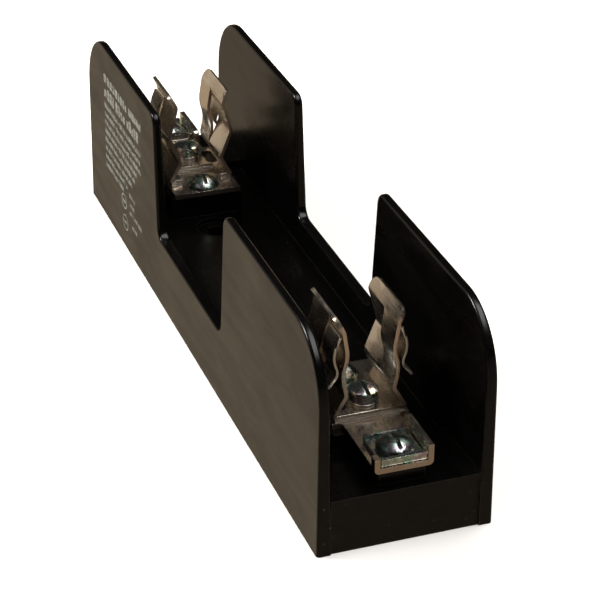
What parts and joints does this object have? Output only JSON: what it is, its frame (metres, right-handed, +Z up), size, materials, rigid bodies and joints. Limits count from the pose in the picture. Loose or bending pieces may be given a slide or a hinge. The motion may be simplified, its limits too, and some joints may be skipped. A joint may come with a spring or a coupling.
{
  "type": "cartridge fuse holder",
  "caption": "Open single-pole cartridge fuse block: black U-shaped moulding with side barriers, a spring clip and a screw pressure-plate terminal at each end.",
  "frame": {"origin": "middle of the mounting face (bottom centre of the block)", "axes": "+X along the block towards the line end, +Y across it towards the terminals' long wings, +Z up out of the mounting face"},
  "size_m": [0.176, 0.038, 0.0475],
  "materials": {
    "black_moulding": "glossy black thermoset moulding",
    "plated_copper": "bright tin-plated copper alloy sheet",
    "spring_steel": "bright plated spring steel",
    "zinc_steel": "clear zinc-plated steel",
    "brass": "turned brass"
  },
  "bodies": {
    "root": {"base_moulding": "black_moulding", "line_contact_strap": "plated_copper", "line_clip_backing_plate": "spring_steel", "line_clip_base": "plated_copper", "line_clip_screw": "zinc_steel", "line_clip_lock_washer": "spring_steel", "line_strap_screw": "zinc_steel", "line_clip_insert": "brass", "line_terminal_insert": "brass", "load_contact_strap": "plated_copper", "load_clip_backing_plate": "spring_steel", "load_clip_base": "plated_copper", "load_clip_screw": "zinc_steel", "load_clip_lock_washer": "spring_steel", "load_strap_screw": "zinc_steel", "load_clip_insert": "brass", "load_terminal_insert": "brass"},
    "line_front_clip_jaw": {"line_front_jaw": "plated_copper", "line_front_jaw_spring": "spring_steel"},
    "line_back_clip_jaw": {"line_back_jaw": "plated_copper", "line_back_jaw_spring": "spring_steel"},
    "line_wire_clamp": {"line_pressure_plate": "zinc_steel"},
    "line_clamp_screw": {"line_terminal_screw": "zinc_steel"},
    "load_front_clip_jaw": {"load_front_jaw": "plated_copper", "load_front_jaw_spring": "spring_steel"},
    "load_back_clip_jaw": {"load_back_jaw": "plated_copper", "load_back_jaw_spring": "spring_steel"},
    "load_wire_clamp": {"load_pressure_plate": "zinc_steel"},
    "load_clamp_screw": {"load_terminal_screw": "zinc_steel"}
  },
  "joints": [
    {"name": "line_front_jaw_flex", "type": "hinge", "parent": "root", "child": "line_front_clip_jaw", "pos_m": [0.0588, -0.0077, 0.0184], "axis": [1, 0, 0], "range_deg": [0, 11], "stiffness_Nm_per_rad": 2},
    {"name": "line_back_jaw_flex", "type": "hinge", "parent": "root", "child": "line_back_clip_jaw", "pos_m": [0.0588, 0.0077, 0.0184], "axis": [-1, 0, 0], "range_deg": [0, 11], "stiffness_Nm_per_rad": 2},
    {"name": "line_clamp_lift", "type": "slide", "parent": "root", "child": "line_wire_clamp", "axis": [0, 0, 1], "range_m": [0, 0.00238]},
    {"name": "line_screw_turn", "type": "hinge", "parent": "line_wire_clamp", "child": "line_clamp_screw", "pos_m": [0.0808, 0, 0.018], "axis": [0, 0, 1], "range_deg": [0, 1080]},
    {"name": "load_front_jaw_flex", "type": "hinge", "parent": "root", "child": "load_front_clip_jaw", "pos_m": [-0.0588, -0.0077, 0.0184], "axis": [1, 0, 0], "range_deg": [0, 11], "stiffness_Nm_per_rad": 2},
    {"name": "load_back_jaw_flex", "type": "hinge", "parent": "root", "child": "load_back_clip_jaw", "pos_m": [-0.0588, 0.0077, 0.0184], "axis": [-1, 0, 0], "range_deg": [0, 11], "stiffness_Nm_per_rad": 2},
    {"name": "load_clamp_lift", "type": "slide", "parent": "root", "child": "load_wire_clamp", "axis": [0, 0, 1], "range_m": [0, 0.00238]},
    {"name": "load_screw_turn", "type": "hinge", "parent": "load_wire_clamp", "child": "load_clamp_screw", "pos_m": [-0.0808, 0, 0.018], "axis": [0, 0, 1], "range_deg": [0, 1080]}
  ],
  "couplings": [
    {"joint": "line_screw_turn", "follows": "line_clamp_lift", "rad_per_m": 7915.8},
    {"joint": "load_screw_turn", "follows": "load_clamp_lift", "rad_per_m": 7915.8}
  ]
}
